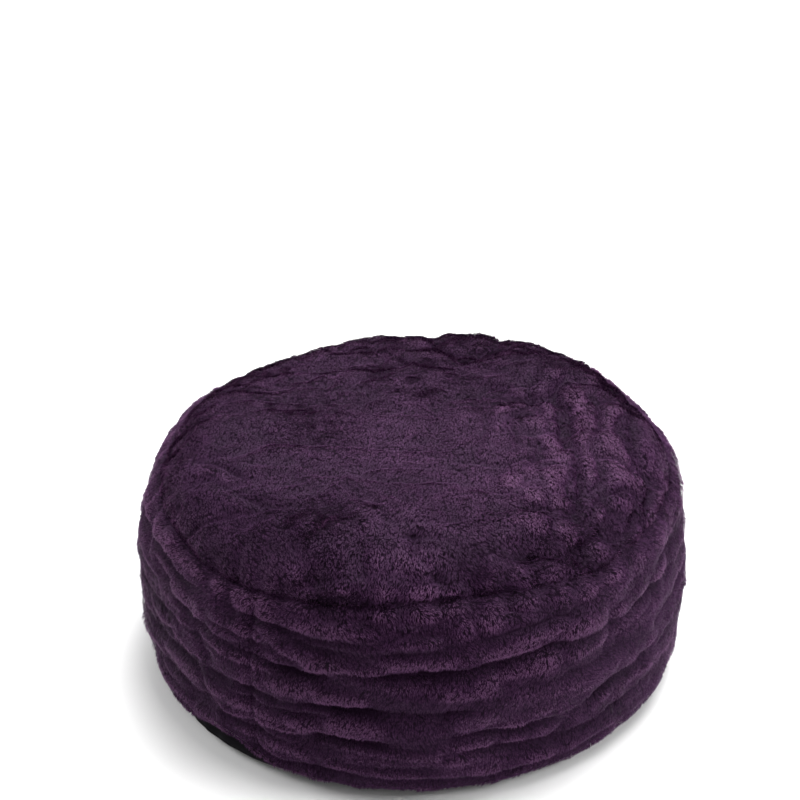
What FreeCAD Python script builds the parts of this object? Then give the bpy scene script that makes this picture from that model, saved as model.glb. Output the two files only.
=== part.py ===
"""Round plush bean bag chair: a squat drum of shredded foam in an inner liner and an outer plush cover.

The cover is a round top panel, two side strips and a plain base panel. A coil zipper closes the rear of
the base seam, and a second, straight zipper closes the base of the liner.

Frame: origin on the floor under the middle of the drum, +Z up, -Y to the front. Millimetres and degrees.
Angles round the drum are measured from +X towards +Y, so 90 is the rear and 270 is the front.
"""
import FreeCAD, Part
import math
import os

# Overall shape
overall_diameter = 660.0
overall_height = 316.0
widest_height = 120.0        # height at which the drum is widest
barrel_radius = 530.0        # curve of the side, seen in section
crown_radius = 2600.0        # curve of the top, seen in section
edge_radius = 125.0          # rounded edge between the side and the top
corner_radius = 27.0         # rounded edge between the side and the base

# Outer cover
plush_thickness = 10.0       # backing cloth and pile together
base_cloth_thickness = 1.6
top_seam_height = 246.0
base_seam_height = 16.0
seam_gap = 1.6               # room between two panels for the seam's thread
thread_diameter = 1.0
thread_end_room = 1.0        # angle left free at each end of the base seam's thread
side_seam_angle = 237.0      # front seam of the side strips, 33 degrees left of front
strip_sweep = 180.0

# Outer zipper, along the rear of the base seam
zipper_height = 30.0         # height of the line where the two coils meet
zipper_start = 35.0
zipper_end = 150.0
zipper_start_tail = 0.5      # angle of plain tape beyond the stop at the closed end
zipper_end_tail = 5.0        # and at the open end, as long as the pull tab
tape_inner_radius = 314.6
tape_thickness = 0.8
tape_width = 15.8
coil_width = 2.4
coil_thickness = 1.8
chain_gap = 1.4              # open gap between the two coils, where the slider's post runs
running_gap = 0.3            # clearance between the slider and everything it passes
tape_sewn_width = 5.5        # how far the upper tape reaches behind the plush's lower edge
rebate_room = 1.0            # height of the rebate beyond the tape and the plush edge
notch_end_room = 0.2         # angle of the plush's notch beyond each end of the tapes
weld_overlap = 0.2           # how far the slider's parts reach into each other
wing_thickness = 1.2
wing_half_width = 5.0
slider_half_angle = 1.0
post_half_angle = 0.27
post_half_width = 0.4
slider_end_margin = 2.5      # angle between the slider's middle and the closed end of the tapes
stop_sweep = 0.5

# Pull tab of the outer zipper
pin_diameter = 1.2
eye_clearance = 0.1          # on the radius
eye_radius = 1.45
tab_thickness = 1.2
tab_length = 26.0
tab_width = 7.0
tab_neck_length = 5.0
lug_gap_half = 1.8           # half of the room between the two lugs that hold the pin
lug_thickness = 0.9
lug_half_length = 1.6
lug_root = 0.4               # how far a lug reaches into the slider's wing, and beyond the pin
tab_corner_radius = 1.4
tab_neck_overlap = 1.0       # how far the neck reaches into the blade
tab_slot_from_end = 3.0
tab_slot_length = 5.0
tab_slot_width = 2.8

# Care tag, with nothing on it
tag_angle = 158.0
tag_width = 30.0
tag_height = 34.0
tag_thickness = 0.6
tag_clearance = 0.6

# Inner liner
liner_gap = 0.6              # between the plush and the liner
liner_thickness = 0.8
liner_floor = 4.9            # height of the liner's underside
liner_top_seam_height = 230.0
liner_base_seam_height = 24.0
liner_seam_gap = 1.0
liner_thread_diameter = 0.6
fill_gap = 0.3

# Liner zipper, straight along X in the liner's base
liner_zipper_length = 360.0
liner_tape_width = 11.3
liner_tape_thickness = 0.6
liner_coil_width = 2.0
liner_coil_thickness = 1.4
liner_slider_length = 9.0
liner_wing_thickness = 1.1
liner_flange_thickness = 0.8
liner_stop_length = 3.0
liner_stop_gap = 0.5         # between a stop and the end of the coils
liner_post_half_length = 1.5
liner_slot_end_room = 0.5
liner_slot_side_room = 0.1
liner_slider_margin = 8.0    # from the slider's middle to the end of the coils
fill_groove_width = 14.0
fill_groove_height = 2.4

# Worked out from the sizes above
outer_radius = overall_diameter / 2
barrel_centre = (outer_radius - barrel_radius, widest_height)
crown_centre = (0.0, overall_height - crown_radius)
beyond = 2 * overall_diameter          # larger than the whole object
z_axis = FreeCAD.Vector(0, 0, 1)
y_axis = FreeCAD.Vector(0, 1, 0)
origin = FreeCAD.Vector(0, 0, 0)


def section_point(radius, height):
    """A point of the half section, which lies in the XZ plane."""
    return FreeCAD.Vector(radius, 0, height)


def on_circle(centre, radius, towards):
    """The point of a circle that lies in the direction of another point, both as (radius, height)."""
    across = towards[0] - centre[0]
    up = towards[1] - centre[1]
    scale = radius / math.hypot(across, up)
    return (centre[0] + across * scale, centre[1] + up * scale)


def meeting_point(centre_a, radius_a, centre_b, radius_b):
    """The outer of the two points where two circles of the half section cross."""
    across = centre_b[0] - centre_a[0]
    up = centre_b[1] - centre_a[1]
    distance = math.hypot(across, up)
    along = (distance ** 2 + radius_a ** 2 - radius_b ** 2) / (2 * distance)
    aside = math.sqrt(radius_a ** 2 - along ** 2)
    foot = (centre_a[0] + along * across / distance, centre_a[1] + along * up / distance)
    candidates = [
        (foot[0] + side * aside * up / distance, foot[1] - side * aside * across / distance)
        for side in (-1, 1)
    ]
    return max(candidates)


edge_centre = meeting_point(
    barrel_centre, barrel_radius - edge_radius, crown_centre, crown_radius - edge_radius
)


def arc_about(centre, radius, start, end):
    """An arc of the half section between two points, the short way round its centre."""
    middle = on_circle(centre, radius, ((start[0] + end[0]) / 2, (start[1] + end[1]) / 2))
    return Part.Arc(section_point(*start), section_point(*middle), section_point(*end)).toShape()


def drum_section(inset, floor):
    """Half section of the drum, with its wall moved in by inset and its flat base at the height floor."""
    barrel = barrel_radius - inset
    crown = crown_radius - inset
    edge = edge_radius - inset
    corner = corner_radius - inset
    corner_height = floor + corner
    corner_reach = math.sqrt((barrel - corner) ** 2 - (barrel_centre[1] - corner_height) ** 2)
    corner_centre = (barrel_centre[0] + corner_reach, corner_height)
    base_middle = (0.0, floor)
    base_rim = (corner_centre[0], floor)
    barrel_foot = on_circle(barrel_centre, barrel, corner_centre)
    barrel_head = on_circle(barrel_centre, barrel, edge_centre)
    crown_rim = on_circle(crown_centre, crown, edge_centre)
    crown_middle = (0.0, overall_height - inset)
    edges = [
        Part.LineSegment(section_point(*base_middle), section_point(*base_rim)).toShape(),
        arc_about(corner_centre, corner, base_rim, barrel_foot),
        arc_about(barrel_centre, barrel, barrel_foot, barrel_head),
        arc_about(edge_centre, edge, barrel_head, crown_rim),
        arc_about(crown_centre, crown, crown_rim, crown_middle),
        Part.LineSegment(section_point(*crown_middle), section_point(*base_middle)).toShape(),
    ]
    return Part.Face(Part.Wire(edges))


def rectangle(inner, outer, low, high):
    """A rectangle of the half section, between two radii and two heights."""
    corners = [
        section_point(inner, low),
        section_point(outer, low),
        section_point(outer, high),
        section_point(inner, high),
        section_point(inner, low),
    ]
    return Part.Face(Part.makePolygon(corners))


def shell_section(inset, floor, thickness, inner_floor, low, high):
    """Section of one layer of cloth between two heights."""
    outside = drum_section(inset, floor)
    inside = drum_section(inset + thickness, inner_floor)
    return outside.cut(inside).common(rectangle(0.0, beyond, low, high))


def plush_section(low, high):
    return shell_section(0.0, 0.0, plush_thickness, base_cloth_thickness, low, high)


def turned(section, start=0.0, sweep=360.0):
    """Turns a half section round the drum's axis, from one angle through a sweep."""
    placed = section.copy()
    placed.rotate(origin, z_axis, start)
    return placed.revolve(origin, z_axis, sweep)


def ring_piece(inner, outer, low, high, start, sweep):
    """Part of a plain ring with a rectangular section."""
    return turned(rectangle(inner, outer, low, high), start, sweep)


def disc_section(radius, height, diameter):
    """A round section of thread."""
    circle = Part.Circle(section_point(radius, height), y_axis, diameter / 2)
    return Part.Face(Part.Wire(circle.toShape()))


def wall_radius(inset, height):
    """Radius of the side at a height, moved in by inset: the barrel curve, or above it the rounded edge."""
    centre, radius = barrel_centre, barrel_radius
    if height > on_circle(barrel_centre, barrel_radius - inset, edge_centre)[1]:
        centre, radius = edge_centre, edge_radius
    return centre[0] + math.sqrt((radius - inset) ** 2 - (height - centre[1]) ** 2)


def box_between(low, high):
    """A box from its lowest to its highest corner."""
    size = [high[i] - low[i] for i in range(3)]
    return Part.makeBox(*size, FreeCAD.Vector(*low))


def clean_solid(shape):
    """The one solid inside a result, without leftover seams."""
    solid = shape.removeSplitter().Solids[0]
    return solid


def cover_top_panel():
    return clean_solid(turned(plush_section(top_seam_height + seam_gap / 2, beyond)))


def zipper_notch():
    """Room for the zipper in the lower edge of the plush: open below, and a rebate behind the edge."""
    tape_top = zipper_height + chain_gap / 2 + tape_width
    plush_edge = tape_top - tape_sewn_width
    start = zipper_start - notch_end_room
    sweep = zipper_end - zipper_start + 2 * notch_end_room
    opening = ring_piece(outer_radius / 2, beyond, 0.0, plush_edge, start, sweep)
    rebate_outer = tape_inner_radius + tape_thickness + running_gap
    rebate = ring_piece(
        outer_radius / 2, rebate_outer, plush_edge - rebate_room, tape_top + rebate_room, start, sweep
    )
    return opening.fuse(rebate)


def cover_side_panel(start):
    """One side strip, half way round the drum, with an end gap for each upright seam."""
    low = base_seam_height + seam_gap / 2
    high = top_seam_height - seam_gap / 2
    gap_angle = math.degrees(seam_gap / outer_radius)
    strip = turned(plush_section(low, high), start + gap_angle / 2, strip_sweep - gap_angle)
    return clean_solid(strip.cut(zipper_notch()))


def cover_base_panel():
    high = base_seam_height - seam_gap / 2
    section = shell_section(0.0, 0.0, base_cloth_thickness, base_cloth_thickness, 0.0, high)
    return clean_solid(turned(section))


def top_seam_thread():
    radius = wall_radius(plush_thickness / 2, top_seam_height)
    return turned(disc_section(radius, top_seam_height, thread_diameter))


def base_seam_thread():
    """The base seam is sewn shut everywhere except along the zipper."""
    radius = wall_radius(plush_thickness / 2, base_seam_height)
    open_sweep = zipper_end - zipper_start
    section = disc_section(radius, base_seam_height, thread_diameter)
    return turned(section, zipper_end + thread_end_room, 360 - open_sweep - 2 * thread_end_room)


def side_seam_thread(angle, low):
    """Upright seam between the two side strips, along the barrel curve from its lower end upwards."""
    inset = plush_thickness / 2
    high = on_circle(barrel_centre, barrel_radius - inset, edge_centre)[1]
    centre = section_point(*barrel_centre)
    start_angle = math.degrees(math.asin((low - barrel_centre[1]) / (barrel_radius - inset)))
    end_angle = math.degrees(math.asin((high - barrel_centre[1]) / (barrel_radius - inset)))
    circle = Part.Circle(
        section_point(barrel_centre[0] + barrel_radius - inset, barrel_centre[1]), z_axis, thread_diameter / 2
    )
    disc = Part.Face(Part.Wire(circle.toShape()))
    disc.rotate(centre, y_axis, -start_angle)
    thread = disc.revolve(centre, y_axis, start_angle - end_angle)
    thread.rotate(origin, z_axis, angle)
    return thread


def zipper_tape(side):
    """One woven tape of the outer zipper. Side is 1 for the upper and -1 for the lower tape."""
    near = zipper_height + side * chain_gap / 2
    far = near + side * tape_width
    outer = tape_inner_radius + tape_thickness
    return ring_piece(
        tape_inner_radius, outer, min(near, far), max(near, far), zipper_start, zipper_end - zipper_start
    )


def zipper_coil(side):
    """One coil of the outer zipper, on the outside of its tape."""
    near = zipper_height + side * chain_gap / 2
    far = near + side * coil_width
    inner = tape_inner_radius + tape_thickness
    start = zipper_start + zipper_start_tail + stop_sweep
    end = zipper_end - zipper_end_tail - stop_sweep
    return ring_piece(inner, inner + coil_thickness, min(near, far), max(near, far), start, end - start)


def zipper_end_stops():
    """A stop across both coils at each end of the outer zipper."""
    inner = tape_inner_radius + tape_thickness
    half_width = chain_gap / 2 + coil_width
    stops = [
        ring_piece(
            inner, inner + coil_thickness, zipper_height - half_width, zipper_height + half_width,
            start, stop_sweep,
        )
        for start in (zipper_start + zipper_start_tail, zipper_end - zipper_end_tail - stop_sweep)
    ]
    return Part.makeCompound(stops)


def pin_radius():
    """Distance from the drum's axis to the middle of the pull tab's pin."""
    coil_face = tape_inner_radius + tape_thickness + coil_thickness
    return coil_face + running_gap + wing_thickness + eye_radius + eye_clearance


def slider_angle():
    return zipper_start + slider_end_margin


def zipper_slider():
    """Two wings either side of the chain, a post between the coils, side flanges, lugs and a pin."""
    coil_face = tape_inner_radius + tape_thickness + coil_thickness
    outer_wing_in = coil_face + running_gap
    outer_wing_out = outer_wing_in + wing_thickness
    inner_wing_out = tape_inner_radius - running_gap
    inner_wing_in = inner_wing_out - wing_thickness
    low = zipper_height - wing_half_width
    high = zipper_height + wing_half_width
    start = slider_angle() - slider_half_angle
    sweep = 2 * slider_half_angle
    body = ring_piece(outer_wing_in, outer_wing_out, low, high, start, sweep)
    body = body.fuse(ring_piece(inner_wing_in, inner_wing_out, low, high, start, sweep))
    post = ring_piece(
        inner_wing_out - weld_overlap, outer_wing_in + weld_overlap,
        zipper_height - post_half_width, zipper_height + post_half_width,
        slider_angle() - post_half_angle, 2 * post_half_angle,
    )
    body = body.fuse(post)
    flange_in = tape_inner_radius + tape_thickness + running_gap
    flange_near = chain_gap / 2 + coil_width + running_gap
    for side in (-1, 1):
        near = zipper_height + side * flange_near
        far = zipper_height + side * wing_half_width
        flange_out = outer_wing_in + weld_overlap
        flange = ring_piece(flange_in, flange_out, min(near, far), max(near, far), start, sweep)
        body = body.fuse(flange)
    centre = pin_radius()
    for side in (-1, 1):
        near = side * lug_gap_half
        far = side * (lug_gap_half + lug_thickness)
        lug = box_between(
            (outer_wing_out - lug_root, -lug_half_length, zipper_height + min(near, far)),
            (centre + pin_diameter / 2 + lug_root, lug_half_length, zipper_height + max(near, far)),
        )
        lug.rotate(origin, z_axis, slider_angle())
        body = body.fuse(lug)
    pin = Part.makeCylinder(
        pin_diameter / 2, 2 * lug_gap_half + lug_thickness,
        FreeCAD.Vector(centre, 0, zipper_height - lug_gap_half - lug_thickness / 2),
    )
    pin.rotate(origin, z_axis, slider_angle())
    return clean_solid(body.fuse(pin))


def zipper_pull():
    """Flat tab with a round eye on the pin, lying along the zipper."""
    centre = pin_radius()
    eye_half_width = lug_gap_half - running_gap
    low = zipper_height - eye_half_width
    eye = Part.makeCylinder(eye_radius, 2 * eye_half_width, FreeCAD.Vector(centre, 0, low))
    neck = box_between(
        (centre - tab_thickness / 2, 0, low),
        (centre + tab_thickness / 2, tab_neck_length + tab_neck_overlap, zipper_height + eye_half_width),
    )
    blade = box_between(
        (centre - tab_thickness / 2, tab_neck_length, zipper_height - tab_width / 2),
        (centre + tab_thickness / 2, tab_length, zipper_height + tab_width / 2),
    )
    corners = [e for e in blade.Edges if abs(e.tangentAt(e.FirstParameter).x) > 0.99]
    blade = blade.makeFillet(tab_corner_radius, corners)
    tab = eye.fuse(neck).fuse(blade)
    hole = Part.makeCylinder(
        pin_diameter / 2 + eye_clearance, 4 * eye_half_width, FreeCAD.Vector(centre, 0, low - eye_half_width)
    )
    slot_end = tab_length - tab_slot_from_end
    slot = box_between(
        (centre - tab_thickness, slot_end - tab_slot_length, zipper_height - tab_slot_width / 2),
        (centre + tab_thickness, slot_end, zipper_height + tab_slot_width / 2),
    )
    tab = tab.cut(hole).cut(slot)
    tab.rotate(origin, z_axis, slider_angle())
    return clean_solid(tab)


def care_tag():
    """Blank folded cloth tag that is caught in the base seam and lies up against the plush."""
    low = base_seam_height + seam_gap
    outside = drum_section(-tag_clearance - tag_thickness, 0.0)
    inside = drum_section(-tag_clearance, 0.0)
    section = outside.cut(inside).common(rectangle(outer_radius / 2, beyond, low, low + tag_height))
    sweep = math.degrees(tag_width / outer_radius)
    return clean_solid(turned(section, tag_angle - sweep / 2, sweep))


def liner_section(low, high):
    inner_floor = liner_floor + liner_thickness
    return shell_section(plush_thickness + liner_gap, liner_floor, liner_thickness, inner_floor, low, high)


def liner_top_panel():
    return clean_solid(turned(liner_section(liner_top_seam_height + liner_seam_gap / 2, beyond)))


def liner_side_panel():
    low = liner_base_seam_height + liner_seam_gap / 2
    high = liner_top_seam_height - liner_seam_gap / 2
    return clean_solid(turned(liner_section(low, high)))


def liner_base_panel():
    """The liner's base, with a straight slot for its zipper."""
    dish = turned(liner_section(0.0, liner_base_seam_height - liner_seam_gap / 2))
    half_length = liner_zipper_length / 2 + liner_slot_end_room
    half_width = chain_gap / 2 + liner_tape_width + liner_slot_side_room
    slot = box_between((-half_length, -half_width, 0.0), (half_length, half_width, corner_radius))
    return clean_solid(dish.cut(slot))


def liner_seam_thread(height):
    inset = plush_thickness + liner_gap + liner_thickness / 2
    return turned(disc_section(wall_radius(inset, height), height, liner_thread_diameter))


def liner_zipper_tape(side):
    """One tape of the liner zipper. Side is 1 for the rear and -1 for the front tape."""
    near = side * chain_gap / 2
    far = side * (chain_gap / 2 + liner_tape_width)
    half_length = liner_zipper_length / 2
    return box_between(
        (-half_length, min(near, far), liner_floor),
        (half_length, max(near, far), liner_floor + liner_tape_thickness),
    )


def liner_zipper_coil(side):
    """One coil of the liner zipper, on the underside of its tape."""
    near = side * chain_gap / 2
    far = side * (chain_gap / 2 + liner_coil_width)
    half_length = liner_zipper_length / 2 - 2 * liner_stop_length
    return box_between(
        (-half_length, min(near, far), liner_floor - liner_coil_thickness),
        (half_length, max(near, far), liner_floor),
    )


def liner_zipper_stops():
    """A stop across both coils at each end of the liner zipper."""
    half_width = chain_gap / 2 + liner_coil_width
    start = liner_zipper_length / 2 - 2 * liner_stop_length + liner_stop_gap
    stops = []
    for side in (-1, 1):
        ends = sorted((side * start, side * (start + liner_stop_length)))
        stops.append(
            box_between(
                (ends[0], -half_width, liner_floor - liner_coil_thickness),
                (ends[1], half_width, liner_floor),
            )
        )
    return Part.makeCompound(stops)


def liner_zipper_slider():
    """Locking slider without a pull tab, at the closed end of the liner zipper."""
    middle = -liner_zipper_length / 2 + 2 * liner_stop_length + liner_slider_margin
    low_x = middle - liner_slider_length / 2
    high_x = middle + liner_slider_length / 2
    lower_top = liner_floor - liner_coil_thickness - running_gap
    lower_bottom = lower_top - liner_wing_thickness
    upper_bottom = liner_floor + liner_tape_thickness + running_gap
    upper_top = upper_bottom + liner_wing_thickness
    flange_near = chain_gap / 2 + liner_coil_width + running_gap
    half_width = flange_near + liner_flange_thickness
    body = box_between((low_x, -half_width, lower_bottom), (high_x, half_width, lower_top))
    body = body.fuse(box_between((low_x, -half_width, upper_bottom), (high_x, half_width, upper_top)))
    post = box_between(
        (middle - liner_post_half_length, -post_half_width, lower_top - weld_overlap),
        (middle + liner_post_half_length, post_half_width, upper_bottom + weld_overlap),
    )
    body = body.fuse(post)
    for side in (-1, 1):
        ends = sorted((side * flange_near, side * half_width))
        flange = box_between(
            (low_x, ends[0], lower_top - weld_overlap), (high_x, ends[1], liner_floor - running_gap)
        )
        body = body.fuse(flange)
    return clean_solid(body)


def foam_fill():
    """The whole load of shredded foam as one solid, with room for the liner zipper's slider."""
    inset = plush_thickness + liner_gap + liner_thickness + fill_gap
    floor = liner_floor + liner_thickness + fill_gap
    fill = turned(drum_section(inset, floor))
    half_length = liner_zipper_length / 2
    groove = box_between(
        (-half_length, -fill_groove_width / 2, 0.0),
        (half_length, fill_groove_width / 2, floor + fill_groove_height),
    )
    return clean_solid(fill.cut(groove))


parts = {
    "cover_top_panel": cover_top_panel(),
    "cover_side_panel_right": cover_side_panel(side_seam_angle),
    "cover_side_panel_left": cover_side_panel(side_seam_angle - strip_sweep),
    "cover_base_panel": cover_base_panel(),
    "top_seam_thread": top_seam_thread(),
    "side_seam_thread_front": side_seam_thread(side_seam_angle, base_seam_height + 2 * seam_gap),
    "side_seam_thread_rear": side_seam_thread(
        side_seam_angle - strip_sweep, zipper_height + chain_gap / 2 + tape_width + 2 * seam_gap
    ),
    "base_seam_thread": base_seam_thread(),
    "zipper_tape_upper": zipper_tape(1),
    "zipper_tape_lower": zipper_tape(-1),
    "zipper_coil_upper": zipper_coil(1),
    "zipper_coil_lower": zipper_coil(-1),
    "zipper_end_stops": zipper_end_stops(),
    "zipper_slider": zipper_slider(),
    "zipper_pull": zipper_pull(),
    "care_tag": care_tag(),
    "liner_top_panel": liner_top_panel(),
    "liner_side_panel": liner_side_panel(),
    "liner_base_panel": liner_base_panel(),
    "liner_top_seam_thread": liner_seam_thread(liner_top_seam_height),
    "liner_base_seam_thread": liner_seam_thread(liner_base_seam_height),
    "liner_zipper_tape_rear": liner_zipper_tape(1),
    "liner_zipper_tape_front": liner_zipper_tape(-1),
    "liner_zipper_coil_rear": liner_zipper_coil(1),
    "liner_zipper_coil_front": liner_zipper_coil(-1),
    "liner_zipper_stops": liner_zipper_stops(),
    "liner_zipper_slider": liner_zipper_slider(),
    "foam_fill": foam_fill(),
}

os.makedirs("parts", exist_ok=True)
for node, shape in parts.items():
    shape.exportStep(f"parts/{node}.step")
    print(f"{node:26s} solids {len(shape.Solids)}  valid {shape.isValid()}  volume {shape.Volume:12.1f} mm3")
slider_travel = zipper_end - zipper_end_tail - slider_end_margin - slider_angle()
liner_slider_travel = liner_zipper_length - 4 * liner_stop_length - 2 * liner_slider_margin
print("pull tab pin: radius", round(pin_radius(), 3), "angle", slider_angle())
print("travel: outer slider", slider_travel, "degrees, liner slider", liner_slider_travel, "mm")
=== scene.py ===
"""Round plush bean bag chair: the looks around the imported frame.

Each cover panel is a sheet of backing cloth in the shape of the stuffed bag, with a pile of separate tufts
on it. Places round the bag are given as an angle from the front, in degrees, positive towards +X, and a
length along the bag's outline, in metres, from the middle of the base.
"""
import math

import bpy
import numpy as np
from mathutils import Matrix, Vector, kdtree


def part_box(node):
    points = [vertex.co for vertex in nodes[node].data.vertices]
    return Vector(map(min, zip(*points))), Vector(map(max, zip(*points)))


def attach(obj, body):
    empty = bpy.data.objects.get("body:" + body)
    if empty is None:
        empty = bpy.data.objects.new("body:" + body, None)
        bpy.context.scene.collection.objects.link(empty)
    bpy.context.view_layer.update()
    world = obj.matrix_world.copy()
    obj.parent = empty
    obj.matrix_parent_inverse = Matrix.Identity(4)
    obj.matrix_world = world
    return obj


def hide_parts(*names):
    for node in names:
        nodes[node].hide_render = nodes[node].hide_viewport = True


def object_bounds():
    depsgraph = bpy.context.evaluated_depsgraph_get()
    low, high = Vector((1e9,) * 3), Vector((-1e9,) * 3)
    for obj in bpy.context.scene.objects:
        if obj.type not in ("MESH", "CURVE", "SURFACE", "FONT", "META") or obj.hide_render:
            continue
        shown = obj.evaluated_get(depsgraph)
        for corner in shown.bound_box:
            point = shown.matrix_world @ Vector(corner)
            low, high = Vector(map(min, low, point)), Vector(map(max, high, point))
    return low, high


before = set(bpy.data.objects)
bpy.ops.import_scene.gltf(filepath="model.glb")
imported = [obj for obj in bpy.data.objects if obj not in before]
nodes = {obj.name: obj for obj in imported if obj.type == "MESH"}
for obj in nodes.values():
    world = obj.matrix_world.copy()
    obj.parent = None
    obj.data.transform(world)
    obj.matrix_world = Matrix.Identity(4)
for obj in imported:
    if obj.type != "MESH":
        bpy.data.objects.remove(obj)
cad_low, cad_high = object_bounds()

bag_radius = (cad_high.x - cad_low.x) / 2
bag_height = cad_high.z

# Cloth layers, in metres
pile_depth = 0.0045          # the backing lies this far inside the bag's outline
backing_thickness = 0.0012
liner_depth = 0.0042         # from the backing's outer face to the liner's
liner_least_depth = 0.0106   # from the outline to the liner, as in the frame
liner_thickness = 0.0006
liner_floor = 0.0056
fill_depth = 0.0012          # from the liner's outer face to the foam
channel_height = 0.0025      # room in the liner and the foam for the liner zipper's slider
channel_half_length = 0.179
channel_half_width = 0.0045
zipper_room = 0.006          # the liner lies this much deeper behind the cover's zipper

# Seams
groove_depth = 0.011
groove_width = 0.010
deep_groove_angle = -48.0    # the top seam's groove is deeper round here
deep_groove_spread = 24.0
pinch_angle = 13.0           # and deepest in this short pinch
pinch_spread = 7.0
puckers_per_turn = 46
base_groove_depth = 0.006
side_seam_depth = 0.004
side_seam_width = 0.005
zipper_lap = 1.0             # degrees of each end of the zipper that the plush laps over
tape_lap = 0.0055            # width of the upper tape under the plush
bare_edge_angle = -42.0      # where the black base shows under the plush
bare_edge_core = 3.0
bare_edge_half = 17.0
bare_edge_rise = 0.019
rolled_edge_height = 0.0065  # elsewhere the plush rolls under, nearly to the floor

# The loose fill's slump: fuller at the back right and slacker at the back left
full_angle = 128.0
full_spread = 36.0
full_swell = 0.010
slack_angle = -135.0
slack_spread = 38.0
slack_sink = 0.005

# Folds
fold_strength = 1.05
fold_upper_width = 0.0036    # how sharply a side fold's upper edge turns in
fold_lower_width = 0.0080    # how slowly the cloth comes out again below it
top_fold_widths = (0.014, 0.008)  # how slowly the top comes out again on a fold's two sides
sat_depth = 0.014            # the shallow dent in the middle of the top, and its half widths
sat_half_x = 0.17
sat_half_y = 0.15
sat_forward = 0.02

# Cloth simulation of the cover
settle_rows = 120
settle_columns = 380
settle_start = 0.27          # length along the outline where the simulated cloth starts
settle_end_room = 0.008      # and how far before the middle of the top it ends
settle_frames = 18
cloth_excess = 0.018         # how much too large the cloth is cut
cloth_move_limit = 0.0065

# Sizes of the side strips' mesh cells
cover_step = 0.0032
liner_step = 0.006

# Tufts
tuft_length = 0.0066
tuft_half_width = 0.00028
tufts_per_square_metre = 900_000
tufts_in_a_lock = 11
lock_pull = 0.35             # how far a lock draws its tips together
pile_parts = 3               # pieces that each panel's pile is divided into

# Stitches, coils and the tag
cover_stitch = (0.0045, 0.0005)   # spacing and thread radius
liner_stitch = (0.0035, 0.0003)
tag_stitch = (0.0022, 0.00018)
coil_pitch = 0.0012
coil_wire = 0.00032
liner_coil_wire = 0.00028
tag_width = 0.030
tag_lift = 0.0030
tag_thickness = 0.0005
tag_gap = 0.0012

# The photograph's view
camera_elevation = 33.3      # degrees above the floor
camera_distance = 7          # in bag radii
camera_lens = 84.6
camera_aim_height = 0.35     # in bag radii
camera_aim_up = 0.189
camera_aim_side = -0.0136


# ---- small helpers

def ramp(value, low, high):
    """0 below low, 1 above high, and a smooth rise between."""
    share = np.clip((value - low) / (high - low), 0.0, 1.0)
    return share * share * (3 - 2 * share)


def noise(points, size, seed):
    """Smooth random values from -1 to 1 over space, with lumps of about the given size."""
    table = np.random.default_rng(seed).uniform(-1, 1, (32, 32, 32))
    scaled = np.asarray(points) / size
    cell = np.floor(scaled).astype(int)
    share = scaled - cell
    share = share ** 3 * (share * (share * 6 - 15) + 10)
    total = np.zeros(scaled.shape[:-1])
    for corner in np.ndindex(2, 2, 2):
        weight = np.prod(np.where(corner, share, 1 - share), axis=-1)
        index = (cell + corner) % 32
        total = total + weight * table[index[..., 0], index[..., 1], index[..., 2]]
    return total


def creases(points, size, seed):
    """Sharp folded ridges from 0 in the creases to 1 on the crests."""
    return np.minimum(1.0, 1.6 * np.abs(noise(points, size, seed)) ** 0.6)


def unit(vectors):
    return vectors / np.maximum(np.linalg.norm(vectors, axis=-1, keepdims=True), 1e-12)


def vertex_places(mesh):
    """A mesh's vertices, one row of x, y and z for each."""
    flat = np.empty(len(mesh.vertices) * 3)
    mesh.vertices.foreach_get("co", flat)
    return flat.reshape(-1, 3)


def turn_between(angle, middle):
    """How far an angle is from a middle, from -180 to 180."""
    return (angle - middle + 180) % 360 - 180


def bell(angle, middle, spread):
    """1 at an angle round the bag, and fading smoothly on both sides of it."""
    return np.exp(-(turn_between(angle, middle) / spread) ** 2)


def angle_of_points(points):
    """The angle round the bag of each point."""
    return np.degrees(np.arctan2(points[..., 0], -points[..., 1]))


def angle_of_node(name):
    """The angle round the bag of a node's middle."""
    low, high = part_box(name)
    middle = (low + high) / 2
    return math.degrees(math.atan2(middle.x, -middle.y))


def distance_along(line):
    """How far along a line each of its points is."""
    steps = np.linalg.norm(np.diff(line, axis=0), axis=1)
    return np.concatenate([[0.0], np.cumsum(steps)])


def unit_circles(first, second, sides):
    """Circles of radius 1 in the planes of two directions at each point."""
    turn = np.linspace(0, 2 * math.pi, sides, endpoint=False)[:, None]
    return first[..., None, :] * np.cos(turn) + second[..., None, :] * np.sin(turn)


def at_distances(places, distance, values):
    """Rows of three values along a line, read at the given distances."""
    return np.stack([np.interp(places, distance, values[:, axis]) for axis in range(3)], -1)


# ---- seams, fittings and flat sizes, from the frame

def seam_height(name):
    low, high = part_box(name)
    return round((low.z + high.z) / 2, 4)


top_seam_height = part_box("cover_top_panel")[0].z
base_seam_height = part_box("cover_base_panel")[1].z
liner_low_seam = seam_height("liner_base_seam_thread")
liner_high_seam = seam_height("liner_top_seam_thread")
front_seam_angle = round(angle_of_node("side_seam_thread_front"), 1)
rear_seam_angle = round(angle_of_node("side_seam_thread_rear"), 1)
tape_angles = angle_of_points(vertex_places(nodes["zipper_tape_upper"].data)) % 360
zipper_from = round(tape_angles.min(), 3)
zipper_to = round(tape_angles.max(), 3)
zipper_edge = round(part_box("zipper_tape_upper")[1].z - tape_lap, 4)


# ---- the bag's outline

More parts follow.
